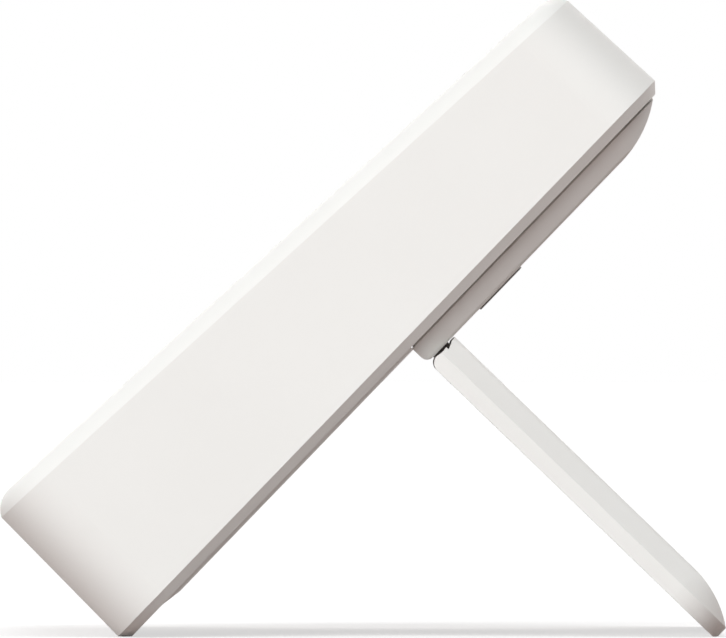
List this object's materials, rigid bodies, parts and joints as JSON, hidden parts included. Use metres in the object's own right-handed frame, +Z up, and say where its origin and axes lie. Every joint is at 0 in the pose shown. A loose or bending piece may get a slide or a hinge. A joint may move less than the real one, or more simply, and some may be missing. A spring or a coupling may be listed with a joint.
{
  "type": "digital photo frame",
  "caption": "Wedge-shaped white digital photo frame leaning on a fold-out easel leg, with a rear push button and side sockets.",
  "frame": {"origin": "middle of the rubber strip under the bottom rear edge, on the table", "axes": "+X along the frame's width, +Y to the back where the leg stands, +Z up; the screen faces -Y and up"},
  "size_m": [0.26, 0.1691, 0.1487],
  "materials": {
    "case_white": "fine satin moulded plastic, warm white",
    "button_grey": "dark grey satin plastic",
    "clear_glass": "clear polished cover glass",
    "foam_black": "black foam",
    "screen_black": "dark screen, switched off",
    "light_guide": "milky light guide",
    "steel": "plain steel",
    "ribbon_amber": "amber film",
    "rubber_grey": "light grey rubber",
    "board_green": "green circuit board",
    "chip_black": "black moulded package",
    "socket_ivory": "ivory plastic",
    "sink_aluminium": "bare extruded aluminium"
  },
  "bodies": {
    "frame": {"front_frame": "case_white", "rear_cover": "case_white", "rear_housing": "case_white", "cover_glass": "clear_glass", "display_gasket": "foam_black", "speaker_gaskets": "foam_black", "lcd_panel": "screen_black", "backlight": "light_guide", "lcd_tray": "steel", "panel_screws": "steel", "lcd_flex": "ribbon_amber", "port_flex": "ribbon_amber", "cover_screws": "steel", "housing_screws": "steel", "board_screws": "steel", "port_screws": "steel", "bracket_screws": "steel", "base_strip": "rubber_grey", "main_board": "board_green", "port_board": "board_green", "tact_switch": "chip_black", "processor": "chip_black", "memory_chips": "chip_black", "radio_module": "steel", "flex_sockets": "socket_ivory", "port_flex_socket": "socket_ivory", "heat_sink": "sink_aluminium", "card_socket": "steel", "usb_socket": "steel", "speakers": "chip_black", "hinge_brackets": "steel", "hinge_pins": "steel", "hinge_washers": "steel", "pin_clips": "steel"},
    "stand_leg": {"leg_shell": "case_white", "leg_cover": "case_white", "leg_foot": "rubber_grey", "leg_screws": "steel"},
    "button": {"power_button": "button_grey"}
  },
  "joints": [
    {"name": "leg_fold", "type": "hinge", "parent": "frame", "child": "stand_leg", "pos_m": [0, 0.0704, 0.07011], "axis": [-1, 0, 0], "range_deg": [0, 90]},
    {"name": "button_press", "type": "slide", "parent": "frame", "child": "button", "axis": [0, -0.7193, 0.6947], "range_m": [0, 0.0004], "stiffness_N_per_m": 1500}
  ]
}
